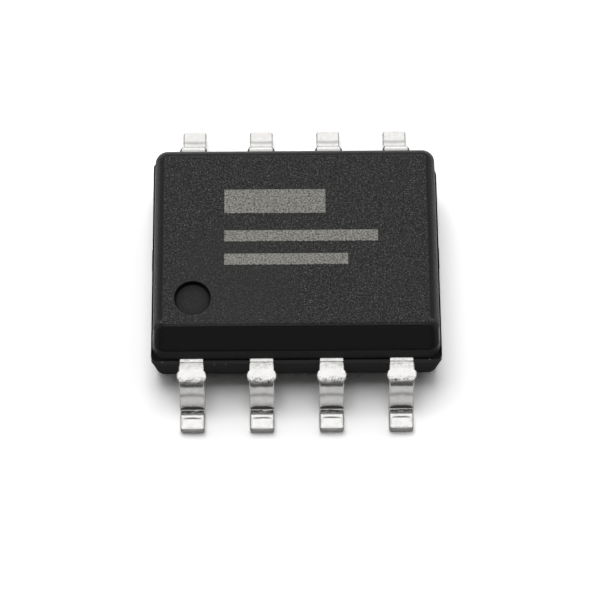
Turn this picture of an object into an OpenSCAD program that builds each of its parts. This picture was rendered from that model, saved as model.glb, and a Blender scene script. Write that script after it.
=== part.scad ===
// Eight-lead surface-mount memory chip with gull-wing leads, in millimetres.
// The board is the plane z = 0 and the origin lies on it, under the middle of the body.
// +X runs along the body and +Y across it. Pins 1 to 4 stand on the -Y side, below the bevelled
// edge, from -X to +X, and pins 5 to 8 come back along the +Y side.

/* [Moulded body] */
// Length of the upper half at the parting line
body_l = 5.23; // [4.6:0.01:5.8]
// Width of the upper half at the parting line
body_w = 3.98; // [3.6:0.01:4.4]
// Height of the upper half, from the top of the leads to the top face
upper_h = 0.675; // [0.6:0.005:0.9]
// Height of the lower half, from the bottom face to the underside of the leads
lower_h = 0.615; // [0.5:0.005:0.8]
// Gap between the bottom face and the board
standoff = 0.14; // [0.05:0.01:0.25]
// Draft of the upper half's long sides, in degrees
upper_draft = 2.5; // [2:0.5:12]
// Draft of the upper half's ends, in degrees
end_draft = 4; // [2:0.5:14]
// Draft of the lower half all round, in degrees
lower_draft = 6; // [2:0.5:10]
// Radius of the upper half's upright corners at the parting line
upper_corner_r = 0.25; // [0.2:0.01:0.4]
// Radius of the lower half's upright corners at the parting line
seam_corner_r = 0.1; // [0.05:0.01:0.2]
// Radius of the lower half's upright corners above the bottom edge
lower_corner_r = 0.2; // [0.13:0.01:0.4]
// Radius of the edge round the top face
top_edge_r = 0.2; // [0.05:0.01:0.24]
// Radius of the edge round the bottom face
bottom_edge_r = 0.05; // [0.02:0.01:0.12]
// Size of the 45 degree bevel along the pin 1 side of the top face
bevel = 0.38; // [0.25:0.01:0.5]
// How far the lower half stands out past the upper half
seam_step = 0.03; // [0.01:0.005:0.06]

/* [Pin 1 dimple] */
// Diameter of the dimple at the top face
dimple_d = 0.66; // [0.4:0.01:0.9]
// Diameter of the dimple's floor
dimple_floor_d = 0.58; // [0.3:0.01:0.85]
// Depth of the dimple
dimple_depth = 0.13; // [0.05:0.01:0.2]
// Distance from the end of the body to the dimple's centre
dimple_from_end = 0.745; // [0.65:0.005:1.2]
// Distance from the pin 1 side of the body to the dimple's centre
dimple_from_side = 0.915; // [0.85:0.005:1.3]

/* [Leads] */
// Distance from one lead to the next
lead_pitch = 1.27; // [1.1:0.01:1.35]
// Width of a lead
lead_w = 0.45; // [0.31:0.01:0.51]
// Thickness of the lead frame's sheet
lead_t = 0.2; // [0.17:0.01:0.25]
// Straight length of a lead between the body and its upper bend
shoulder_l = 0.08; // [0.05:0.01:0.2]
// Inside radius of the upper bend
upper_bend_r = 0.21; // [0.12:0.01:0.3]
// Inside radius of the lower bend
lower_bend_r = 0.15; // [0.1:0.01:0.25]
// Slope of the leg below the horizontal, in degrees
leg_slope = 66; // [55:1:80]
// Flat length of the foot, from the lower bend to the tip
foot_l = 0.28; // [0.2:0.01:0.5]
// Radius of the tip's corners, seen from above
tip_r = 0.045; // [0.02:0.005:0.08]
// Distance from the body to the middle of the trimmed bar stubs
stub_from_body = 0.3; // [0.25:0.005:0.35]
// Length of a bar stub along the lead
stub_l = 0.17; // [0.12:0.01:0.3]
// How far a bar stub stands out of the lead's side
stub_proud = 0.04; // [0.02:0.005:0.08]

/* [Lead frame inside the body] */
// Length of the narrow neck inside the body
neck_l = 0.25; // [0.15:0.01:0.35]
// Length of the bonding land at the inner end of a lead
land_l = 0.42; // [0.3:0.01:0.5]
// Width of the bonding land
land_w = 0.8; // [0.6:0.01:0.9]
// Gap between the bonding lands and the die paddle
frame_gap = 0.26; // [0.15:0.01:0.35]
// Length of the die paddle
paddle_l = 2.9; // [2.2:0.05:3.2]
// How far the die paddle lies below the leads
paddle_drop = 0.2; // [0.1:0.01:0.25]
// Width of the tie bars that run from the paddle to the ends of the body
tie_w = 0.4; // [0.2:0.01:0.6]

/* [Die] */
// Length of the die
die_l = 1.7; // [1.4:0.05:2]
// Width of the die
die_w = 1.4; // [1.1:0.05:1.6]
// Thickness of the die
die_t = 0.28; // [0.2:0.01:0.3]
// Thickness of the adhesive under the die
attach_t = 0.025; // [0.015:0.005:0.05]
// How far the adhesive spreads past the edge of the die
attach_spread = 0.05; // [0.02:0.01:0.1]

/* [Bond wires] */
// Diameter of a bond wire
wire_d = 0.03; // [0.02:0.005:0.04]
// Diameter of the ball bond on the die
ball_d = 0.08; // [0.06:0.005:0.1]
// Height of the ball bond
ball_h = 0.02; // [0.01:0.005:0.03]
// Height of the wire's loop control above the ball
loop_h = 0.2; // [0.12:0.01:0.25]
// Distance from one bond pad to the next along the die
pad_pitch = 0.42; // [0.3:0.01:0.45]
// Distance from a bond pad's centre to the edge of the die
pad_from_edge = 0.12; // [0.08:0.01:0.2]

/* [Hidden] */

pins = [1, 2, 3, 4, 5, 6, 7, 8];
// Pin 7 has no connection inside a memory chip of this kind
bonded_pins = [1, 2, 3, 4, 5, 6, 8];
pins_per_side = len(pins) / 2;

// Heights above the board
body_bottom = standoff;
frame_bottom = body_bottom + lower_h;
frame_top = frame_bottom + lead_t;
body_top = frame_top + upper_h;
paddle_bottom = frame_bottom - paddle_drop;
attach_bottom = paddle_bottom + lead_t;
die_bottom = attach_bottom + attach_t;
die_top = die_bottom + die_t;

// Distances out from the middle of the body
body_side = body_w / 2;
body_end = body_l / 2;
neck_side = body_side - neck_l;
land_side = neck_side - land_l;
paddle_side = land_side - frame_gap;

// How far a cutting shape runs past what it cuts
over = 1;
arc_steps = 8;
wire_sides = 8;
wire_steps = 12;

// Colours of the real materials
resin_colour = [0.13, 0.13, 0.13];
tin_colour = [0.83, 0.83, 0.81];
copper_colour = [0.72, 0.47, 0.33];
adhesive_colour = [0.62, 0.62, 0.6];
silicon_colour = [0.33, 0.36, 0.42];
gold_colour = [0.9, 0.72, 0.3];

// Points of an arc about a centre, from one angle to another
function arc(centre, r, from, to) =
    [for (i = [0 : arc_steps]) let (a = from + (to - from) * i / arc_steps)
        centre + r * [cos(a), sin(a)]];

function flipped(points) = [for (i = [len(points) - 1 : -1 : 0]) points[i]];

function mirrored(points) = [for (p = points) [-p[0], p[1]]];

// A closed solid through a stack of rings that have the same number of points, counted
// counterclockwise about the way the stack runs
module ring_solid(rings) {
    n = len(rings[0]);
    last = (len(rings) - 1) * n;
    sides = [
        for (base = [0 : n : last - n], k = [0 : n - 1])
            let (a = base + k, b = base + (k + 1) % n)
                each [[a, a + n, b + n], [a, b + n, b]]
    ];
    first_cap = [for (k = [0 : n - 1]) k];
    last_cap = [for (k = [n - 1 : -1 : 0]) last + k];
    polyhedron([for (ring = rings) each ring], concat([first_cap], sides, [last_cap]), convexity = 6);
}

// A bent strip: its side view in the YZ plane, cut to its outline as seen from above
module bent_strip(side_view, outline, width, height) {
    intersection() {
        rotate([90, 0, 90])
            linear_extrude(width, center = true)
                polygon(side_view);
        translate([0, 0, -over])
            linear_extrude(height + 2 * over)
                polygon(outline);
    }
}

// Moulded body

// One outline of the body: its height, how far its ends, its pin 1 side and its far side lie
// inside the upper half's parting line, and the radius of its corners
function body_ring(level) =
    let (
        z = level[0],
        end = body_end - level[1],
        near = body_side - level[2],
        far = body_side - level[3],
        r = level[4],
        plan = concat(
            arc([end - r, far - r], r, 0, 90),
            arc([r - end, far - r], r, 90, 180),
            arc([r - end, r - near], r, 180, 270),
            arc([end - r, r - near], r, 270, 360)
        )
    )
    [for (p = plan) [p[0], p[1], z]];

// Round edge between the bottom face and the lower half's drafted sides, which draw in downwards
lower_arc_top = body_bottom + bottom_edge_r * (1 - sin(lower_draft));
lower_arc_in = (frame_bottom - lower_arc_top) * tan(lower_draft) - seam_step;
lower_edge = [
    for (i = [0 : arc_steps])
        let (
            a = (90 - lower_draft) * i / arc_steps,
            turn = bottom_edge_r * (cos(lower_draft) - sin(a)),
            inset = lower_arc_in + turn
        )
        [body_bottom + bottom_edge_r * (1 - cos(a)), inset, inset, inset, lower_corner_r - turn]
];

// The lower half carries the band between the leads, as thick as the lead frame
seam = [
    [frame_bottom, -seam_step, -seam_step, -seam_step, seam_corner_r],
    [frame_top, -seam_step, -seam_step, -seam_step, seam_corner_r],
    [frame_top, 0, 0, 0, upper_corner_r]
];

// Front side of the upper half: drafted up to the bevel, then 45 degrees to the top face
bevel_foot = body_top - bevel;
function bevel_inset(z) = (min(z, bevel_foot) - frame_top) * tan(upper_draft) + max(z - bevel_foot, 0);

// How far the far side or an end lies in at a height: its draft, then the round edge of the top face
function edge_inset(z, draft) =
    let (rise = 1 - (body_top - z) / top_edge_r)
    rise <= sin(draft)
        ? (z - frame_top) * tan(draft)
        : (upper_h - top_edge_r * (1 - sin(draft))) * tan(draft)
            + top_edge_r * (cos(draft) - sqrt(max(0, 1 - rise * rise)));

// One outline of the upper half. Its corners keep one centre as the sides draw in, but never come
// to a point.
function upper_level(z) =
    let (far = edge_inset(z, upper_draft))
    [z, edge_inset(z, end_draft), bevel_inset(z), far, max(upper_corner_r - far, upper_corner_r / 5)];

steep_draft = min(upper_draft, end_draft);
upper_edge = [
    for (i = [0 : arc_steps])
        let (a = steep_draft + (90 - steep_draft) * i / arc_steps)
            upper_level(body_top - top_edge_r * (1 - sin(a)))
];

module body_shell() {
    ring_solid([for (level = concat(lower_edge, seam, [upper_level(bevel_foot)], upper_edge)) body_ring(level)]);
}

module dimple() {
    spread = (dimple_d - dimple_floor_d) / dimple_depth;
    translate([dimple_from_end - body_end, dimple_from_side - body_side, body_top - dimple_depth])
        cylinder(d1 = dimple_floor_d, d2 = dimple_d + spread * over, h = dimple_depth + over, $fn = 64);
}

// The resin is moulded round the lead frame, the die and its wires, so each leaves its own hollow
module moulded_body() {
    color(resin_colour)
        difference() {
            body_shell();
            dimple();
            die_paddle();
            die_attach();
            memory_die();
            for (pin = pins) lead(pin);
            for (pin = bonded_pins) bond_wire(pin);
        }
}

// Leads

function on_near_side(pin) = pin <= pins_per_side;

// Place of a pin along the body, counted from pin 1 to 4 and back from 5 to 8
function pin_step(pin) =
    on_near_side(pin) ? pin - (pins_per_side + 1) / 2 : 3 * pins_per_side / 2 + 1 / 2 - pin;

upper_bend = [body_side + shoulder_l, frame_top - lead_t - upper_bend_r];
leg_drop = frame_top - lead_t - (upper_bend_r + lead_t + lower_bend_r) * (1 - cos(leg_slope));
leg_l = leg_drop / sin(leg_slope);
lower_bend = [
    upper_bend[0] + (upper_bend_r + lead_t + lower_bend_r) * sin(leg_slope) + leg_l * cos(leg_slope),
    lead_t + lower_bend_r
];
lead_tip = lower_bend[0] + foot_l;

// The lead seen from its side, outwards along the top and back along the underside
lead_side_view = concat(
    [[land_side, frame_top]],
    arc(upper_bend, upper_bend_r + lead_t, 90, 90 - leg_slope),
    arc(lower_bend, lower_bend_r, 270 - leg_slope, 270),
    [[lead_tip, lead_t], [lead_tip, 0]],
    arc(lower_bend, lower_bend_r + lead_t, 270, 270 - leg_slope),
    arc(upper_bend, upper_bend_r, 90 - leg_slope, 90),
    [[land_side, frame_top - lead_t]]
);

// Right-hand edge of the lead seen from above, from the land to the tip
stub_middle = body_side + stub_from_body;
stub_ramp = stub_l / 3;
lead_edge = concat(
    [
        [land_w / 2, land_side],
        [land_w / 2, neck_side],
        [lead_w / 2, neck_side],
        [lead_w / 2, stub_middle - stub_l / 2],
        [lead_w / 2 + stub_proud, stub_middle - stub_l / 2 + stub_ramp],
        [lead_w / 2 + stub_proud, stub_middle + stub_l / 2 - stub_ramp],
        [lead_w / 2, stub_middle + stub_l / 2]
    ],
    arc([lead_w / 2 - tip_r, lead_tip - tip_r], tip_r, 0, 90)
);

module lead(pin) {
    color(tin_colour)
        translate([pin_step(pin) * lead_pitch, 0, 0])
            rotate([0, 0, on_near_side(pin) ? 180 : 0])
                bent_strip(
                    lead_side_view,
                    concat(lead_edge, flipped(mirrored(lead_edge))),
                    land_w + 2 * over,
                    frame_top
                );
}

// Die paddle

// The paddle seen from its side, with a tie bar rising at each end to the level of the leads
tie_end = body_end + seam_step;
tie_foot = paddle_l / 2;
tie_head = tie_foot + paddle_drop;
paddle_underside = [
    [-tie_end, frame_bottom],
    [-tie_head, frame_bottom],
    [-tie_foot, paddle_bottom],
    [tie_foot, paddle_bottom],
    [tie_head, frame_bottom],
    [tie_end, frame_bottom]
];
paddle_top = [for (p = flipped(paddle_underside)) p + [0, lead_t]];

// The paddle seen from above, with the length along Y as in a bent strip
paddle_edge = [
    [tie_w / 2, -tie_end],
    [tie_w / 2, -tie_foot],
    [paddle_side, -tie_foot],
    [paddle_side, tie_foot],
    [tie_w / 2, tie_foot],
    [tie_w / 2, tie_end]
];

module die_paddle() {
    color(copper_colour)
        rotate([0, 0, 90])
            bent_strip(
                concat(paddle_underside, paddle_top),
                concat(paddle_edge, flipped(mirrored(paddle_edge))),
                2 * paddle_side + 2 * over,
                frame_top
            );
}

// Die and its adhesive

module slab(length, width, thickness, bottom) {
    translate([-length / 2, -width / 2, bottom])
        cube([length, width, thickness]);
}

module die_attach() {
    color(adhesive_colour)
        slab(die_l + 2 * attach_spread, die_w + 2 * attach_spread, attach_t, attach_bottom);
}

module memory_die() {
    color(silicon_colour)
        slab(die_l, die_w, die_t, die_bottom);
}

// Bond wires

function side_sign(pin) = on_near_side(pin) ? -1 : 1;

function pad_place(pin) = [pin_step(pin) * pad_pitch, side_sign(pin) * (die_w / 2 - pad_from_edge)];

function land_place(pin) = [pin_step(pin) * lead_pitch, side_sign(pin) * (land_side + neck_side) / 2];

// Cubic curve from p[0] to p[3], drawn by p[1] and p[2], and its direction
function curve(p, t) =
    pow(1 - t, 3) * p[0] + 3 * t * pow(1 - t, 2) * p[1] + 3 * t * t * (1 - t) * p[2] + pow(t, 3) * p[3];

function curve_way(p, t) =
    let (d = pow(1 - t, 2) * (p[1] - p[0]) + 2 * t * (1 - t) * (p[2] - p[1]) + t * t * (p[3] - p[2]))
    d / norm(d);

// A ring about a point [along, height] of the wire's upright plane, square to a direction there
function wire_ring(start, heading, point, way, along_r, across_r) =
    [
        for (k = [0 : wire_sides - 1])
            let (
                a = 360 * k / wire_sides,
                along = point[0] + along_r * cos(a) * way[1],
                across = across_r * sin(a),
                rise = point[1] - along_r * cos(a) * way[0]
            )
            [
                start[0] + along * heading[0] - across * heading[1],
                start[1] + along * heading[1] + across * heading[0],
                rise
            ]
    ];

// A ball bonded on the die, a loop that rises straight from it, and a wedge stitched on the land
module bond_wire(pin) {
    start = pad_place(pin);
    span = norm(land_place(pin) - start);
    heading = (land_place(pin) - start) / span;
    ball_top = die_top + ball_h;
    loop = [[0, ball_top], [0, ball_top + loop_h], [span / 2, ball_top + loop_h], [span, frame_top]];
    r = wire_d / 2;
    color(gold_colour)
        ring_solid(concat(
            [
                wire_ring(start, heading, [0, die_top], [0, 1], ball_d / 2, ball_d / 2),
                wire_ring(start, heading, [0, ball_top], [0, 1], ball_d / 2, ball_d / 2)
            ],
            [
                for (i = [0 : wire_steps - 1])
                    let (t = i / wire_steps)
                        wire_ring(start, heading, curve(loop, t), curve_way(loop, t), r, r)
            ],
            [wire_ring(start, heading, loop[3], [0, -1], wire_d, wire_d)]
        ));
}

moulded_body();
die_paddle();
die_attach();
memory_die();
for (pin = pins)
    lead(pin);
for (pin = bonded_pins)
    bond_wire(pin);
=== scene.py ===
import bpy
import numpy as np
from mathutils import Matrix


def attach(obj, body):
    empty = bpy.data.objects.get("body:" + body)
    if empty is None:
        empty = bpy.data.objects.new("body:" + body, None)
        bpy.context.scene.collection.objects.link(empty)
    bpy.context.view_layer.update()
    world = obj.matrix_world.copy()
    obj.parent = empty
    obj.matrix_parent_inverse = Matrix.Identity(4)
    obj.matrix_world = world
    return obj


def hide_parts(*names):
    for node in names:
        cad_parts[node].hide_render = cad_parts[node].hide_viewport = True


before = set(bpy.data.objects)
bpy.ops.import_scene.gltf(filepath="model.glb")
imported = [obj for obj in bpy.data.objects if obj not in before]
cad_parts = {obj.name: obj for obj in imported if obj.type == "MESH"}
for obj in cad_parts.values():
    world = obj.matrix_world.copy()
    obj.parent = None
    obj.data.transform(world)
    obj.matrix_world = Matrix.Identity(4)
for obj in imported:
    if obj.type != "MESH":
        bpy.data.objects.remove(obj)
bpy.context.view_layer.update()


# DIE PADDLE
# The stamped plate that carries the die, with a tie bar to each end of the body. It is bare copper
# alloy, cut from the same sheet as the leads. Only the sheared ends of its tie bars show.

class Signal:
    """One output of a shader node. Arithmetic on it adds Math nodes to the same tree."""

    def __init__(self, socket):
        self.socket = socket

    def node(self, kind, settings=(), sockets=(), out=0):
        """Any other node: its settings first, then the values or links of its sockets."""
        tree = self.socket.id_data
        made = tree.nodes.new(kind)
        for key, value in dict(settings).items():
            setattr(made, key, value)
        for key, value in dict(sockets).items():
            if isinstance(value, Signal):
                tree.links.new(value.socket, made.inputs[key])
            else:
                made.inputs[key].default_value = value
        return Signal(made.outputs[out])

    def split(self):
        """The x, y and z of a vector."""
        outputs = self.node("ShaderNodeSeparateXYZ", {}, {0: self}).socket.node.outputs
        return [Signal(output) for output in outputs]

    def feed(self, shader, name):
        """Links this output to a named socket of a shader."""
        self.socket.id_data.links.new(self.socket, shader.inputs[name])

    def maths(self, operation, a, b):
        return self.node("ShaderNodeMath", {"operation": operation}, {0: a, 1: b})

    def __add__(self, other): return self.maths("ADD", self, other)
    def __radd__(self, other): return self.maths("ADD", other, self)
    def __sub__(self, other): return self.maths("SUBTRACT", self, other)
    def __rsub__(self, other): return self.maths("SUBTRACT", other, self)
    def __mul__(self, other): return self.maths("MULTIPLY", self, other)
    def __rmul__(self, other): return self.maths("MULTIPLY", other, self)
    def __gt__(self, other): return self.maths("GREATER_THAN", self, other)
    def __lt__(self, other): return self.maths("LESS_THAN", self, other)


def finish(name):
    """A new material: itself, its shader, and the Object coordinates that its patterns read."""
    material = bpy.data.materials.new(name)
    material.use_nodes = True
    tree = material.node_tree
    place = Signal(tree.nodes.new("ShaderNodeTexCoord").outputs["Object"])
    return material, tree.nodes["Principled BSDF"], place


def noise(place, per_metre, detail=2.0, rough=0.5, stretch=(1, 1, 1)):
    """Noise of a given number of grains in a metre. A stretch under 1 draws it out along an axis."""
    spread = place.node("ShaderNodeMapping", {}, {"Vector": place, "Scale": stretch})
    return place.node("ShaderNodeTexNoise", {}, {
        "Vector": spread, "Scale": per_metre, "Detail": detail, "Roughness": rough}, "Fac")


def between(signal, low, high):
    """Runs from 0 at the low value to 1 at the high one, with soft ends."""
    return signal.node("ShaderNodeMapRange", {"interpolation_type": "SMOOTHSTEP"}, {
        0: signal, 1: low, 2: high}, "Result")


def blend(factor, first, second):
    """One colour passing into another. A Mix node's colours are its sockets 6 and 7 and output 2."""
    first, second = ((*end, 1) if isinstance(end, tuple) else end for end in (first, second))
    return factor.node("ShaderNodeMix", {"data_type": "RGBA"}, {0: factor, 6: first, 7: second}, 2)


def relief(height, metres):
    """A height from 0 to 1 as bumps of a given depth."""
    return height.node("ShaderNodeBump", {}, {
        "Strength": 1.0, "Distance": metres, "Height": height}, "Normal")


def dress(node, material):
    """A CAD node keeps its shape and takes a material."""
    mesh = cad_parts[node].data
    mesh.materials.clear()
    mesh.materials.append(material)


copper, tarnished, cut_dark = (0.74, 0.43, 0.27), (0.5, 0.27, 0.17), (0.03, 0.028, 0.026)
cut_from, cut_to = 2.5e-3, 2.56e-3

frame_copper, shader, place = finish("stamped_frame_copper")
rolled = noise(place, 60000, 3.0, 0.6, (0.08, 1, 1))
tarnish = noise(place, 5000, 4.0, 0.65)
bare = blend(between(tarnish, 0.4, 0.7), copper, tarnished)
east = place.split()[0]
sheared = between(east * east, cut_from ** 2, cut_to ** 2)
blend(sheared, bare, cut_dark).feed(shader, "Base Color")
shader.inputs["Metallic"].default_value = 1.0
(0.28 + rolled * 0.2 + sheared * 0.3).feed(shader, "Roughness")
relief(rolled, 1.5e-6).feed(shader, "Normal")
dress("die_paddle", frame_copper)


# LEADS
# Eight gull-wing leads of copper alloy sheet with bright tin plate. They are stamped with the
# paddle, moulded in, trimmed from the bar that joined them, which leaves a stub on each side, and
# bent over an anvil. Most of the dark bands and lines on the plate are painted reflections and
# shade of the bends and stubs.

mm = 0.001
lead_pitch = 1.27
lead_half = 0.225
sheet = 0.2
frame_top = 0.955
land_half = 0.4
land_from, neck_from, neck_shown, bend_from = 1.32, 1.74, 1.98, 2.09
upper_inside, lower_inside = 0.21, 0.12
upper_r, lower_r = upper_inside + sheet / 2, lower_inside + sheet / 2
slope = np.radians(66)
foot = 0.2795
tip_r, tip_edge, side_edge = 0.045, 0.011, 0.03
stub_at, stub_length, stub_fullness = 2.25, 0.14, 0.55
near_proud, far_proud = 0.041, 0.03
# Painted shade along the leads' sheared sides, for the near row and the far row.
near_side_painted_shade, far_side_painted_shade = 0.03, 0.2
far_evenness = 0.25
# The last tin is the near-black that painted shade and reflections darken the plate towards.
bright_tin, cloudy_tin, shade_and_marks_tin = (0.95, 0.94, 0.925), (0.87, 0.86, 0.84), (0.03, 0.0295, 0.028)


def closed_round(n_long, n_short, n_arc):
    """Places round a rounded rectangle, counterclockwise: how far along the straight sides each
    lies, from -1 to 1, and its direction from the corner's centre."""
    a = np.linspace(0, np.pi / 2, n_arc + 2)[1:-1]
    cos, sin = np.cos(a), np.sin(a)
    long, short = np.linspace(-1, 1, n_long), np.linspace(-1, 1, n_short)
    one_s, one_l, one_a = np.ones(n_short), np.ones(n_long), np.ones(n_arc)
    no_s, no_l = 0 * short, 0 * long
    sx = np.concatenate([one_s, one_a, -long, -one_a, -one_s, -one_a, long, one_a])
    sy = np.concatenate([short, one_a, one_l, one_a, -short, -one_a, -one_l, -one_a])
    cx = np.concatenate([one_s, cos, no_l, -sin, -one_s, -cos, no_l, sin])
    cy = np.concatenate([no_s, sin, one_l, cos, no_s, -sin, -one_l, -cos])
    return sx, sy, cx, cy


def put(name, data):
    """A new object in the scene, at the origin."""
    made = bpy.data.objects.new(name, data)
    bpy.context.scene.collection.objects.link(made)
    return made


def closed_surface(name, rings, first, last):
    """A closed mesh from a grid of points [ring, place round it], in millimetres: quads between
    rings, and a fan to one more point at each end. Seen along the run, rings go counterclockwise."""
    n_ring, n_round, _ = rings.shape
    points = np.concatenate([rings.reshape(-1, 3), [first], [last]])
    here = np.arange(n_ring * n_round).reshape(n_ring, n_round)
    beside = np.roll(here, -1, axis=1)
    quads = np.stack([here[:-1], here[1:], beside[1:], beside[:-1]], axis=-1).reshape(-1, 4)
    start, end = np.full(n_round, len(points) - 2), np.full(n_round, len(points) - 1)
    fans = np.concatenate([
        np.stack([start, here[0], beside[0]], axis=-1),
        np.stack([end, beside[-1], here[-1]], axis=-1)])
    mesh = bpy.data.meshes.new(name)
    mesh.from_pydata((points * mm).tolist(), [], quads.tolist() + fans.tolist())
    mesh.polygons.foreach_set("use_smooth", np.ones(len(mesh.polygons), bool))
    mesh.update()
    return put(name, mesh)


def soft_step(x, low, high):
    """0 below the low value and 1 above the high one. Between them it is three times the square of
    the share of the way, less twice its cube."""
    t = np.clip((x - low) / (high - low), 0, 1)
    return t * t * (3 - 2 * t)


def ridge(x, at, width):
    """A bell curve: 1 at a place, and falling off with the square of the distance in widths."""
    return np.exp(-((x - at) / width) ** 2)


def rounded_off(y, tip, r):
    """How far a quarter round of radius r before the tip has fallen back from its straight side."""
    past = np.clip(y - tip + r, 0, None)
    return r - np.sqrt(np.clip(r ** 2 - past ** 2, 0, None))


def lead_path(proud):
    """The sheet's middle line from the bonding land to the tip: level, an arc down to the slope, a
    straight leg, an arc back to level, and the flat foot. It gives the distance out, height, angle
    of the upper face's normal, half the width, half the thickness and the edge radius. Each stub is
    an arch that stands proud of the side, and the tip's corners and edges are quarter rounds."""
    t = np.linspace(0, 1, 56)
    up = np.pi / 2 - slope * t
    up_y = bend_from + upper_r * np.cos(up)
    up_z = frame_top - sheet - upper_inside + upper_r * np.sin(up)
    leg_low = sheet / 2 + lower_r * (1 - np.cos(slope))
    leg = (up_z[-1] - leg_low) / np.sin(slope)
    k = np.linspace(0, 1, 44)[1:-1]
    leg_y = up_y[-1] + k * leg * np.cos(slope)
    leg_z = up_z[-1] - k * leg * np.sin(slope)
    low_y = up_y[-1] + leg * np.cos(slope) + lower_r * np.sin(slope)
    down = 3 * np.pi / 2 - slope * (1 - t)
    down_y = low_y + lower_r * np.cos(down)
    down_z = sheet / 2 + lower_r + lower_r * np.sin(down)
    tip = low_y + foot
    corner = tip - tip_r + tip_r * np.sin(np.linspace(0, np.pi / 2, 16))
    foot_y = np.concatenate([np.linspace(low_y, tip - tip_r, 44)[1:-1], corner])
    land_y = np.array([land_from, land_from + 0.01, neck_from - 0.01, neck_from])
    neck_y = np.concatenate([[neck_from, neck_from + 0.02, neck_from + 0.05, 1.95],
                             np.linspace(neck_shown, bend_from, 26)[:-1]])
    flat_y = np.concatenate([land_y, neck_y])
    y = np.concatenate([flat_y, up_y, leg_y, down_y, foot_y])
    z = np.concatenate([0 * flat_y + frame_top - sheet / 2, up_z, leg_z, down_z,
                        0 * foot_y + sheet / 2])
    facing = np.concatenate([0 * flat_y + np.pi / 2, up, 0 * k + np.pi / 2 - slope,
                             down - np.pi, 0 * foot_y + np.pi / 2])
    half = np.full(y.shape, lead_half)
    half[:len(land_y)] = land_half
    half += proud * np.clip(1 - ((y - stub_at) / (stub_length / 2)) ** 2, 0, 1) ** stub_fullness
    half -= rounded_off(y, tip, tip_r)
    thin = rounded_off(y, tip, tip_edge)
    return y, z, facing, half, sheet / 2 - thin, side_edge - thin


def scuffs(x, run, pin):
    """A rough, streaky pattern, mostly between -1 and 1: the sum of twelve waves whose lengths and
    phases come from a seeded draw, longer across the lead than along it."""
    waves = 12
    draw = np.random.default_rng(pin)
    across, along = draw.normal(0, 55, waves), draw.normal(0, 125, waves)
    phase = draw.uniform(0, 6.28, waves)
    return np.sin(x[..., None] * across + run[..., None] * along + phase).sum(axis=-1) / 3.5


def near_painted_shade_and_marks(x, side, away, rough):
    """How dark the near row's plate is painted, from 0 to 1: the strongest of its marks at each
    point.
    Most are painted reflections: bands by the body, below the upper bend and on the leg, a crescent
    along the heel, a line at the tip, and darker facets along the foot's sides. A rough dark strip
    runs under the crescent and a short dark line crosses the foot. Each has its places, in
    millimetres from the middle of the part, and strengths."""
    u = np.abs(x) / side
    ragged = 0.004 * rough
    lens = np.sqrt(np.clip(1 - (x / (0.78 * lead_half)) ** 2, 0, 1))
    # Painted reflections: the bands, crescent, tip line and facets below darken the plate where its
    # bends mirror dark things.
    shoulder = np.interp(away, [2.03, 2.06, 2.1, 2.16, 2.2], [0.1, 0.12, 0.2, 0.12, 0])
    shoulder *= 1 + 0.5 * rough
    bend = np.interp(away, [2.3, 2.36, 2.41, 2.45], [0, 0.36, 0.3, 0])
    bend *= 0.6 + 1.2 * rough
    leg = 0.34 * ridge(away, 2.53 + 0.01 * u ** 2, 0.02)
    start, stop = 2.642 + 0.024 * u ** 4, 2.684 - 0.004 * u ** 4
    crescent = 0.88 * soft_step(away + ragged / 3, start, start + 0.012) * (u < 0.93)
    crescent *= 1 - soft_step(away, stop, stop + 0.008)
    strip = np.interp(away + ragged, [2.68, 2.69, 2.698, 2.706, 2.735, 2.775, 2.789],
                      [0, 0.42, 0.42, 1, 0.92, 0.76, 0])
    strip *= (1 + 0.16 * np.minimum(rough, 0.4)) * (1 - soft_step(u, 0.9, 0.98))
    foot_line = lens * ridge(away + ragged / 2, 2.84 + 0.014 * u ** 2, 0.015)
    brink = 0.32 * lens * ridge(away + ragged, 3.03, 0.007)
    pinch = 0.028 + 0.026 * np.sin(np.pi * np.clip((away - 2.79) / 0.24, 0, 1))
    facet = 0.18 * soft_step(np.abs(x) + pinch - side, -0.008, 0.008) * (away > 2.785)
    return np.max([shoulder, bend, leg, crescent, strip, foot_line, brink, facet], axis=0)


def far_painted_shade(x, side, away):
    """How dark the far row's plate is painted, from 0 to 1, as painted shade: the strongest of a
    soft band along the heel, a trace on the leg, painted shadow on the stubs and darker margins."""
    u = np.abs(x) / side
    heel = 0.4 * ridge(away, 2.817 + 0.012 * u ** 2, 0.036)
    leg = 0.1 * (1 - soft_step(away, 2.5, 2.6))
    stub = 0.96 * (u > 0.87) * soft_step(away, 2.2, 2.24) * (1 - soft_step(away, 2.43, 2.46))
    margin = 0.05 + 0.22 * soft_step(u, 0.84, 0.92)
    return np.max([heel, leg, stub, margin], axis=0)


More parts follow.
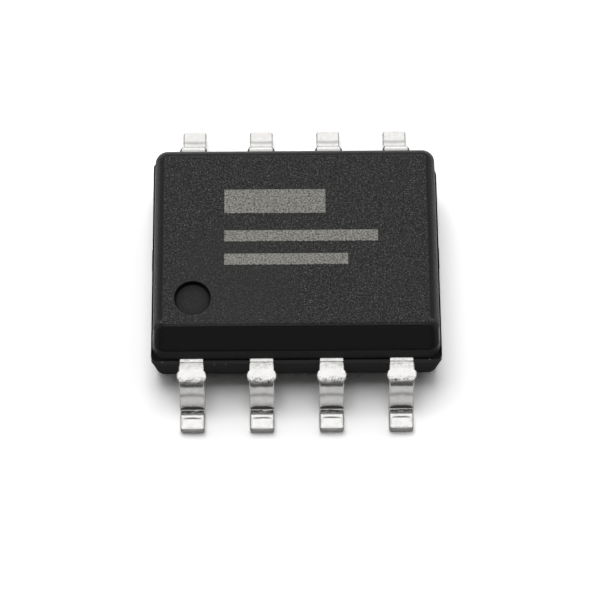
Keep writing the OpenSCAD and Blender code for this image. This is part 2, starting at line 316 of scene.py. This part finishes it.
def lead(pin):
    """A rounded strip carried along the lead's path. Its upper face is lower by a small step at the
    shoulder, a dip in the leg and a slight unevenness. It is built for the far row, and the near row
    is turned half round. Each point also keeps how dark its plate is painted, mostly as painted
    shade and reflections, and the sheared sides are painted darker as shade."""
    near = pin <= 4
    path = lead_path(near_proud if near else far_proud)
    y, z, facing, half, deep, edge = (part[:, None] for part in path)
    steps = (np.diff(line, axis=0, prepend=line[:1]) for line in (y, z))
    run = np.cumsum(np.hypot(*steps), axis=0)
    sx, sy, cx, cy = closed_round(45, 4, 6)
    x = sx * (half - edge) + cx * edge
    out = sy * (deep - edge) + cy * edge
    upper = np.where(sy > 0, np.clip(cy, 0, 1), 0)
    rough = scuffs(x, run + 0 * x, pin)
    shoulder = 0.012 * np.clip((y - 1.985) / 0.055, 0, 1) + 0.006 * soft_step(y, 2.03, 2.14)
    shoulder *= 1 - soft_step(y, 2.14, 2.36)
    dip = 0.003 * ridge(y, 2.43 + 0.008 * (x / lead_half) ** 2, 0.03)
    uneven = 0.0016 * np.sin(31 * x + 2 * pin) * np.sin(19 * y + pin)
    uneven += 0.0006 * np.sin(83 * x + 5 * pin) + 0.0003 * rough * ridge(y, 2.32, 0.05)
    uneven *= soft_step(y, 2.1, 2.3) * (1 if near else far_evenness)
    out = out - upper * (shoulder + dip + uneven)
    away, height = y + out * np.cos(facing), z + out * np.sin(facing)
    # How dark the plate is painted at each point: painted shade and reflections on the upper face,
    # painted shade on the sides.
    painted_shade_and_marks = near_painted_shade_and_marks(x, half, away, rough) if near else far_painted_shade(x, half, away)
    side_painted_shade = (near_side_painted_shade if near else far_side_painted_shade) * np.abs(cx)
    painted_shade_and_marks = np.clip(np.maximum(painted_shade_and_marks * (sy > 0), side_painted_shade), 0, 1)
    rings = np.stack([x, away, height], axis=-1)
    ends = np.array([[0, y[0, 0], z[0, 0]], [0, y[-1, 0], z[-1, 0]]])
    way = np.array([-1, -1, 1]) if near else np.ones(3)
    move = np.array([(pin - 2.5 if near else 6.5 - pin) * lead_pitch, 0, 0])
    piece = closed_surface("formed_lead_%d" % pin, rings * way + move, *(ends * way + move))
    plate_shade_and_marks = piece.data.attributes.new("plate_shade_and_marks", "FLOAT", "POINT")
    plate_shade_and_marks.data.foreach_set("value", np.append(painted_shade_and_marks.ravel(), [0, 0]).astype(np.float32))
    return piece


tin_plate, shader, place = finish("bright_tin_plate")
fine = noise(place, 90000, 3.0, 0.6)
cloudy = noise(place, 9000, 4.0, 0.6)
drawn = noise(place, 70000, 2.0, 0.5, (1, 0.12, 0.12))
# Painted shade and reflections: the plate turns towards near-black where each lead's points say.
painted_shade_and_marks = place.node("ShaderNodeAttribute", {"attribute_name": "plate_shade_and_marks"}, {}, "Fac")
plated = blend(between(cloudy, 0.35, 0.7), bright_tin, cloudy_tin)
blend(painted_shade_and_marks * (0.86 + fine * 0.28), plated, shade_and_marks_tin).feed(shader, "Base Color")
shader.inputs["Metallic"].default_value = 1.0
(0.08 + cloudy * 0.1 + fine * 0.06 + painted_shade_and_marks * 0.2).feed(shader, "Roughness")
relief(fine * 0.2 + drawn * 0.3 + cloudy * 0.8, 2.5e-6).feed(shader, "Normal")

for pin in range(1, 9):
    piece = lead(pin)
    piece.data.materials.append(tin_plate)
    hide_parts("lead_%d" % pin)
    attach(piece, "root")


# DIE ADHESIVE
# The thin layer that holds the die on the paddle. It is epoxy full of silver flakes, printed on the
# paddle and cured under the die.

flake_silver, resin_grey = (0.66, 0.65, 0.62), (0.34, 0.33, 0.31)

die_adhesive, shader, place = finish("silver_filled_adhesive")
flakes = place.node("ShaderNodeTexVoronoi", {}, {"Vector": place, "Scale": 60000}, "Distance")
blend(between(flakes, 0.2, 0.6), flake_silver, resin_grey).feed(shader, "Base Color")
shader.inputs["Metallic"].default_value = 0.6
(0.5 + flakes * 0.3).feed(shader, "Roughness")
relief(flakes, 3e-6).feed(shader, "Normal")
dress("die_attach", die_adhesive)


# MEMORY DIE
# A sawn square of polished silicon. Its upper face carries the rows of memory cells as fine metal
# lines under glass, and its sides show the saw's marks.

silicon_dark, silicon_light, metal_line = (0.13, 0.15, 0.2), (0.22, 0.22, 0.3), (0.55, 0.5, 0.42)

silicon, shader, place = finish("polished_silicon")
cells = place.node("ShaderNodeTexBrick", {"offset": 0.0}, {
    "Vector": place, "Scale": 1000.0, "Mortar Size": 0.012,
    "Brick Width": 0.36, "Row Height": 0.24}, "Fac")
lines = place.node("ShaderNodeTexWave", {"bands_direction": "Y"}, {
    "Vector": place, "Scale": 12000.0, "Distortion": 0.0}, "Fac")
sawn = noise(place, 40000, 3.0, 0.6, (1, 1, 0.1))
pattern = blend(between(lines, 0.4, 0.6), silicon_dark, silicon_light)
blend(cells, pattern, metal_line).feed(shader, "Base Color")
shader.inputs["Metallic"].default_value = 0.35
(0.16 + sawn * 0.16).feed(shader, "Roughness")
relief(sawn, 8e-7).feed(shader, "Normal")
dress("memory_die", silicon)


# BOND WIRES
# Thin drawn gold wires, one for each connected pin. Each is welded as a ball on the die, looped over
# and stitched flat on a lead's land.

gold_light, gold_deep = (0.95, 0.67, 0.25), (0.83, 0.55, 0.17)

gold_wire, shader, place = finish("drawn_gold")
draw_lines = noise(place, 120000, 2.0, 0.5)
blend(draw_lines, gold_light, gold_deep).feed(shader, "Base Color")
shader.inputs["Metallic"].default_value = 1.0
(0.18 + draw_lines * 0.15).feed(shader, "Roughness")
relief(draw_lines, 8e-7).feed(shader, "Normal")
for pin in (1, 2, 3, 4, 5, 6, 8):
    dress("bond_wire_%d" % pin, gold_wire)


# MOULDED BODY
# One block of black epoxy filled with fine silica, moulded in two mould halves. The upper half has a
# spark-eroded top face, a bevel along the pin 1 side and a round dimple by pin 1. The lower half
# stands out a little at the parting line, where a thin flash remains.

end, side = 2.615, 1.99
top, band_low, bottom = 1.63, 0.755, 0.14
draft, end_draft, low_draft = np.radians(2.5), np.radians(4), np.radians(6)
edge_r, foot_r = 0.2, 0.05
upper_corner, least_corner = 0.25, 0.05
lower_top, lower_corner, corner_growth, far_right_corner = 0.95, 0.1, 0.1, 0.32
flank_top, flank_out, flank_run = 0.74, 0.0255, 0.55
bevel_foot, bevel_run, bevel_soft, bevel_crest = 1.235, 0.93, 0.04, 0.09
dimple_x, dimple_y, dimple_rim, dimple_lip = -1.87, -1.075, 0.336, 0.01
dimple_floor, floor_r, floor_rise = 1.5, 0.29, 0.016
resin_black, resin_sheen = (0.0045, 0.0045, 0.0044), (0.0065, 0.0065, 0.0063)
pit_black, grain_grey = (0.0012, 0.0012, 0.0012), (0.052, 0.052, 0.051)
fleck_grey, patch_grey = (0.24, 0.24, 0.235), (0.021, 0.021, 0.0207)
burnt_grey, glint_grey = (0.36, 0.352, 0.322), (0.55, 0.55, 0.54)


def bevelled_inset(z):
    """How far the pin 1 side lies in at a height: the draft, then about 45 degrees above the bevel's
    foot, with a soft bend between them and a small round where the bevel meets the top face."""
    t = z - bevel_foot
    bent = (t + bevel_soft) ** 2 / (4 * bevel_soft)
    rise = np.where(np.abs(t) < bevel_soft, bent, np.clip(t, 0, None))
    flank = np.tan(draft) * (z - frame_top) + (bevel_run - np.tan(draft)) * rise
    brow = np.tan(draft) * (bevel_foot - frame_top) + bevel_run * (top - bevel_foot)
    brow += bevel_crest * np.tan(np.pi / 8)
    lift = np.clip((z - top + bevel_crest) / bevel_crest, 0, 1)
    arc = brow - bevel_crest * np.sqrt(np.clip(1 - lift ** 2, 0, None))
    return np.where(lift > np.cos(np.pi / 4), arc, flank)


def edge_inset(z, lean):
    """How far the far side or an end lies in at a height: its draft, then the round top edge."""
    rise = 1 - (top - z) / edge_r
    start = (top - edge_r * (1 - np.sin(lean)) - frame_top) * np.tan(lean)
    arc = start + edge_r * (np.cos(lean) - np.sqrt(np.clip(1 - rise ** 2, 0, None)))
    return np.where(rise > np.sin(lean), arc, (z - frame_top) * np.tan(lean))


def body_levels():
    """The moulding's outlines from the top face to the bottom face: height, inset of the ends, of
    the pin 1 side and of the far side, and corner radius. The seam's rows, each a height, an inset
    and a corner radius, run in under the upper half and out again round the flash. Below them the
    ends lean in less than the sides."""
    round_z = top - edge_r * (1 - np.sin(np.linspace(np.pi / 2, draft, 26)))
    flat_z = np.concatenate([[1.4, 1.36, 1.32], np.linspace(1.28, 1.19, 10),
                             [1.14, 1.06, 0.99, 0.97]])
    upper_z = np.concatenate([round_z, flat_z])
    far = edge_inset(upper_z, draft)
    upper = np.stack([upper_z, edge_inset(upper_z, end_draft), bevelled_inset(upper_z), far,
                      np.maximum(upper_corner - far, least_corner)], axis=1)
    seam = np.array([
        [0.964, 0.002, 0.248], [0.957, 0.005, 0.245], [0.953, 0.008, 0.24],
        [0.945, 0.02, 0.235], [0.915, 0.025, 0.23], [0.905, 0.022, 0.21],
        [0.9, 0.01, 0.18], [0.905, -0.004, 0.15], [0.92, -0.01, 0.13],
        [0.936, -0.013, 0.12], [0.942, -0.018, 0.11], [0.944, -0.022, 0.105],
        [0.943, -0.0255, 0.1], [0.938, -0.0265, 0.1], [0.93, -0.0265, 0.1],
        [0.78, -0.0265, 0.1], [0.768, -0.027, 0.1], [0.762, -0.0285, 0.1],
        [0.757, -0.03, 0.1], [0.753, -0.03, 0.1], [0.749, -0.0275, 0.1],
        [0.744, -0.026, 0.1]])
    low_z = np.array([0.73, 0.65, 0.5, 0.35, 0.24, 0.2])
    low_in = -flank_out + (flank_top - low_z) * np.tan(low_draft)
    b = np.linspace(low_draft, np.pi / 2, 10)
    foot_z = bottom + foot_r * (1 - np.sin(b))
    foot_in = -flank_out + (flank_top - foot_z[0]) * np.tan(low_draft)
    foot_in = foot_in + foot_r * (np.cos(b[0]) - np.cos(b))
    down_z, down_in = np.concatenate([low_z, foot_z]), np.concatenate([low_in, foot_in])
    corner = lower_corner + corner_growth * np.clip((band_low - down_z) / flank_run, 0, 1)
    corner -= np.clip(down_in - foot_in[0], 0, None)
    z, inset, corner = np.concatenate([seam, np.stack([down_z, down_in, corner], axis=1)]).T
    steeper = np.tan(low_draft) - np.tan(end_draft)
    ends = inset - steeper * np.clip(flank_top - z, 0, flank_run)
    return np.concatenate([upper, np.stack([z, ends, inset, inset, corner], axis=1)])


def moulding():
    """Rings from the dimple's middle over its nearly flat floor, up its steep wall, over the top
    face, down the sides and under the bottom face. Between the dimple's rim and the top edge the
    rings pass from circle to outline. The lower half's far right corner is rounder than the rest."""
    z, ends, near, far, r = (part[:, None] for part in body_levels().T)
    sx, sy, cx, cy = closed_round(120, 90, 14)
    half = side - (near + far) / 2
    rounder = far_right_corner - np.clip(bottom + foot_r - z, 0, foot_r)
    r = np.where((z < lower_top) & (sy > 0) & (sx > 0), rounder, r)
    x = sx * (end - ends - r) + cx * r
    y = (near - far) / 2 + sy * (half - r) + cy * r
    outlines = np.stack([x, y, z + 0 * x], axis=-1)
    brim = outlines[0]
    angle = np.arctan2(brim[:, 1] - dimple_y, brim[:, 0] - dimple_x)
    a = np.linspace(0, np.pi / 2, 7)
    hollow = np.linspace(0.05, floor_r, 14)
    wall_r = np.array([0.298, 0.304, 0.308, 0.313, 0.318, 0.322])
    wall_rise = np.array([0.021, 0.03, 0.045, 0.066, 0.09, 0.108])
    bowl_r = np.concatenate([hollow, wall_r, dimple_rim - dimple_lip * np.cos(a), [0.35]])[:, None]
    bowl_z = np.concatenate([
        dimple_floor + floor_rise * (hollow / floor_r) ** 2, dimple_floor + wall_rise,
        top - dimple_lip * (1 - np.sin(a)), [top]])[:, None]
    bowl = np.stack([dimple_x + bowl_r * np.cos(angle), dimple_y + bowl_r * np.sin(angle),
                     bowl_z + 0 * angle], axis=-1)
    t = np.array([0.12, 0.3, 0.5, 0.7, 0.86, 0.96])[:, None, None]
    face = bowl[-1] * (1 - t) + brim * t
    middle = np.array([0, 0, bottom])
    s = np.array([0.98, 0.7, 0.4, 0.15])[:, None, None]
    base = middle + (outlines[-1] - middle) * s
    rings = np.concatenate([bowl, face, outlines, base])
    return closed_surface("resin_moulding", rings, [dimple_x, dimple_y, dimple_floor], middle)


mould_resin, shader, place = finish("filled_black_epoxy")
east, north, height = place.split()
south = 0 - north
grain = noise(place, 30000, 4.0, 0.62)
coarse = noise(place, 9000, 3.0, 0.6)
filler = noise(place, 52000, 2.0, 0.7)


def spread_from(at_x, at_y):
    """The square of the distance from a place on the top face."""
    over, up = east - at_x * mm, north - at_y * mm
    return over * over + up * up


flat_top = between(height, 1.6268e-3, 1.6295e-3)
past_brow = between(south, 1.565e-3, 1.635e-3)
crest_zone = (south > 1.5e-3) * between(height, 1.585e-3, 1.6e-3)
eroded = flat_top + (1 - flat_top) * crest_zone * (1 - past_brow)
bevel_face = past_brow * between(height, 1.22e-3, 1.25e-3)
brow = between(height, 1.48e-3, 1.56e-3) * (1 - eroded) * 0.6
to_dimple = spread_from(dimple_x, dimple_y)
dimpled = to_dimple < (dimple_rim * mm) ** 2
dimple_wall = dimpled * between(height, 1.52e-3, 1.535e-3)
# Painted shade: the dimple's floor is paler in its middle and darker towards its wall.
dimple_painted_light = dimpled * (1 - between(to_dimple, 0.1e-3 ** 2, 0.31e-3 ** 2))
polished = between(bevel_face + brow, 0, 1) * (1 - dimpled) + dimpled * 0.5 + dimple_wall * 0.4
speckle = between(grain * 0.6 + filler * 0.4, 0.38, 0.66)
flecks = between(filler + grain * 0.35, 0.76, 0.95)
plain = blend(coarse, resin_black, resin_sheen)
grit = blend(flecks, blend(speckle, pit_black, grain_grey), fleck_grey)
# A darker, smoother patch on the top face, fading out round a point left of the middle towards the
# pin 1 side.
smooth_dark_patch = 0.5 * (1 - between(spread_from(-1.2, -0.8), 0.5e-3 ** 2, 1.5e-3 ** 2))
scoured = blend(smooth_dark_patch, grit, patch_grey)
# Painted highlight: the rounded top edges of both ends are painted paler, as if lit from the sides.
end_painted_highlight = between(east * east, 2.48e-3 ** 2, 2.53e-3 ** 2) * between(height, 1.34e-3, 1.44e-3)
skin_grit_and_end_highlight = (1 - polished) * (1 - eroded) * (1 - dimpled) * (0.12 + 0.7 * end_painted_highlight)
resin = blend(eroded * (1 - dimpled) + skin_grit_and_end_highlight + dimple_painted_light * 0.5, plain, scoured)


def etched_bar(left, right, low, high):
    """1 inside a plain laser-burnt bar on the top face, with edges roughened by the grain."""
    ragged_x = east + (grain - 0.5) * 3e-5
    ragged_y = north + (grain - 0.5) * 3e-5
    across = (ragged_x > left * mm) * (ragged_x < right * mm)
    return across * (ragged_y > low * mm) * (ragged_y < high * mm)


bars = (etched_bar(-1.3, 0.55, 0.62, 1.1) + etched_bar(-1.3, 1.5, 0.05, 0.27)
        + etched_bar(-1.3, 0.95, -0.42, -0.2))
burnt = bars * eroded * (0.18 + 0.82 * between(grain + filler * 0.4, 0.5, 0.88))


def glint(at_x, at_z):
    """1 on a tiny crumb of flash by the parting line of the pin 1 side, where a glint is painted."""
    over, up = east - at_x * mm, height - at_z * mm
    return (over * over + up * up < 1.3e-5 ** 2) * (south > 1.9e-3)


# Painted glints: four tiny crumbs of flash are painted pale grey where they catch the light.
crumb_glints = glint(-1.495, 0.752) + glint(-1.29, 0.752) + glint(-2.436, 0.88) + glint(2.416, 0.93)
blend(crumb_glints, blend(burnt, resin, burnt_grey), glint_grey).feed(shader, "Base Color")
front_wall = between(south, 1.9e-3, 1.95e-3) * (1 - between(height, 1.2e-3, 1.24e-3))
band = between(height, 0.72e-3, 0.8e-3) * (1 - between(height, 0.92e-3, 0.95e-3))
matt = burnt * 0.25 + front_wall * (1 - band) * 0.25
(0.42 - polished * 0.24 + grain * 0.1 + matt).feed(shader, "Roughness")
rough_skin = (1.0 - 0.74 * polished) * (1 - smooth_dark_patch * 0.8)
relief((grain * 0.9 + filler * 0.4) * rough_skin, 2.2e-5).feed(shader, "Normal")
shader.inputs["IOR"].default_value = 1.34

piece = moulding()
piece.data.materials.append(mould_resin)
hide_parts("moulded_body")
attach(piece, "root")


# FLOOR
# A plain sheet of white paper under the chip, wide enough to fill every view. The camera and the
# mirroring metal see it a little whiter than it lights the chip.

paper_half = 3
paper_white, paper_glare = 0.92, 0.33


def rays(tree):
    """1 for the camera's rays, for mirrored rays and for rays let through, each by itself."""
    kinds = tree.nodes.new("ShaderNodeLightPath").outputs
    return [Signal(kinds["Is %s Ray" % kind]) for kind in ("Camera", "Glossy", "Transmission")]


floor_mesh = bpy.data.meshes.new("floor")
corners = [(x * paper_half, y * paper_half, 0) for x, y in ((-1, -1), (1, -1), (1, 1), (-1, 1))]
floor_mesh.from_pydata(corners, [], [(0, 1, 2, 3)])
floor = put("floor", floor_mesh)
paper = finish("white_paper")[0]
seen, glossy, through = rays(paper.node_tree)
sheet_white = paper_white + paper_glare * (seen + glossy + through)
sheet_white.node("ShaderNodeBsdfDiffuse", {}, {"Color": sheet_white}).feed(
    paper.node_tree.nodes["Material Output"], "Surface")
floor_mesh.materials.append(paper)


# LIGHT
# One large soft lamp above and behind, as the shadow in front of the chip shows, and a white room.
# For the metal to mirror there are a dark card in front, paler ones behind and at the sides, and
# mats just over the floor by both rows of feet, with the chip's shadow painted on them in greys.
# Only mirrors see the cards and mats.

lamp_rise, lamp_turn, lamp_reach = np.radians(70.3), np.radians(-12), 2.0
room_light, wall_grey = 1.1, 0.72
card_reach, mat_lift = 0.3, 5e-6


def placed(axes, at):
    """A matrix from an object's own x, y and z axes and its place."""
    return Matrix([[*row, shift] for row, shift in zip(np.stack(axes, 1), at)] + [[0, 0, 0, 1]])


lamp = bpy.data.lights.new("soft_lamp", "AREA")
lamp.shape = "RECTANGLE"
lamp.size, lamp.size_y = 1.1, 1.15
lamp.energy = 20.5
toward = np.array([np.sin(lamp_turn) * np.cos(lamp_rise), np.cos(lamp_turn) * np.cos(lamp_rise),
                   np.sin(lamp_rise)])
sideways = np.cross([0, 0, 1], toward)
sideways /= np.linalg.norm(sideways)
key = put("soft_lamp", lamp)
key.matrix_world = placed([sideways, np.cross(toward, sideways), toward], toward * lamp_reach)
key.visible_glossy = False

world = bpy.data.worlds.new("white_room")
bpy.context.scene.world = world
world.use_nodes = True
room = world.node_tree.nodes["Background"]
room.inputs["Color"].default_value = (1, 1, 1, 1)
seen, glossy, through = rays(world.node_tree)
aim = Signal(world.node_tree.nodes.new("ShaderNodeTexCoord").outputs["Generated"])
_, aim_y, aim_z = aim.split()
behind = between(aim_y, -0.1, 0.2)
ceiling = wall_grey + (1 - wall_grey) * between(aim_z, 0.3, 0.8)
lighting = room_light * behind * (1 - seen - glossy - through)
(lighting + seen + through + glossy * ceiling).feed(room, "Strength")

card_grey, shader, place = finish("grey_card")
shader.inputs["Base Color"].default_value = (0, 0, 0, 1)
shader.inputs["Specular IOR Level"].default_value = 0.0
place.node("ShaderNodeAttribute", {"attribute_name": "tone"}).feed(shader, "Emission Color")
shader.inputs["Emission Strength"].default_value = 1.0


def mirror_card(name, points, shades):
    """A card that only mirrors see: a grid of points, in metres, each with its own grey."""
    here = np.arange(shades.size).reshape(shades.shape)
    quads = np.stack([here[:-1, :-1], here[:-1, 1:], here[1:, 1:], here[1:, :-1]], axis=-1)
    mesh = bpy.data.meshes.new(name)
    mesh.from_pydata(points.reshape(-1, 3).tolist(), [], quads.reshape(-1, 4).tolist())
    tone = mesh.color_attributes.new("tone", "FLOAT_COLOR", "POINT")
    tone.data.foreach_set("color", np.repeat(shades.ravel(), 4))
    mesh.materials.append(card_grey)
    card = put(name, mesh)
    card.visible_camera = card.visible_diffuse = False
    card.visible_shadow = card.visible_transmission = False


def bent_card(name, across, upright, shades):
    """Part of a sphere round the chip, between two angles across, counted from straight behind, and
    at a row of angles above the floor, each with its own grey."""
    a, e = np.meshgrid(np.radians(np.linspace(*across, 25)), np.radians(upright))
    points = np.stack([np.cos(e) * np.sin(a), np.cos(e) * np.cos(a), np.sin(e)], axis=-1)
    mirror_card(name, card_reach * points, np.array(shades)[:, None] + 0 * a)


def painted_shadow_mat(name, way, rows, shades):
    """A mat just over the floor with painted shadow, that mirrors see instead of the floor: in front
    of the chip (-1) or behind it (1), in rows at distances from the chip's middle, in millimetres,
    each with its own grey."""
    y, x = np.meshgrid(way * np.array(rows) * mm, [way * card_reach, -way * card_reach])
    mirror_card(name, np.stack([x, y, 0 * x + mat_lift], axis=-1), np.array([shades] * 2))


side_rows, side_shades = (-1, 13, 17, 58), (1.5, 1.5, 0.36, 0.36)
bent_card("front_card", (121, 239), (-1, 4, 9, 15, 21, 27, 33),
          (0.06, 0.06, 0.14, 0.18, 0.3, 0.48, 0.76))
bent_card("back_card", (-25, 25), (-1, 10, 20, 30, 38), (0.7, 0.7, 0.74, 0.84, 0.94))
bent_card("left_card", (-120, -25), side_rows, side_shades)
bent_card("right_card", (25, 120), side_rows, side_shades)
# Painted shadow: the mats' greys darken by the body and the feet, as the chip's shadow on the floor
# would look in the metal.
painted_shadow_mat("front_shadow_mat", -1,
          (1.8, 2.1, 2.25, 2.45, 2.6, 2.72, 3.0, 3.05, 3.14, 3.3, 4.2, 4.8, 5.4, 6.2, 300.0),
          (0.08, 0.1, 0.52, 0.42, 0.14, 0.3, 0.4, 0.14, 0.32, 0.55, 0.55, 0.46, 0.3, 0.08, 0.06))
painted_shadow_mat("back_shadow_mat", 1, (3.06, 3.1, 3.5, 4.2), (0.3, 0.35, 0.6, 0.95))


# CAMERA
# The photograph's angle: from the pin 1 side, about 66 degrees up, with a long lens. The place and
# the focal length come from a fit to the lead tips, shoulders and body edges.

yaw, rise, roll = -0.0112, 1.1459, 0.0031
look, reach = np.array([0.0727, -0.7587, 0.8]), 49.1257
focal_pixels, frame_pixels = 2675.45, 600
back = np.array([np.sin(yaw) * np.cos(rise), -np.cos(yaw) * np.cos(rise), np.sin(rise)])
level = np.array([np.cos(yaw), np.sin(yaw), 0])
over = np.cross(back, level)
right = np.cos(roll) * level + np.sin(roll) * over
upward = np.cos(roll) * over - np.sin(roll) * level
lens = bpy.data.cameras.new("camera")
lens.sensor_width = 36.0
lens.lens = focal_pixels * lens.sensor_width / frame_pixels
lens.clip_start = 0.001
lens.clip_end = 20
camera = put("camera", lens)
camera.matrix_world = placed([right, upward, back], (look + back * reach) * mm)
bpy.context.scene.camera = camera
bpy.context.scene.view_settings.view_transform = "Standard"
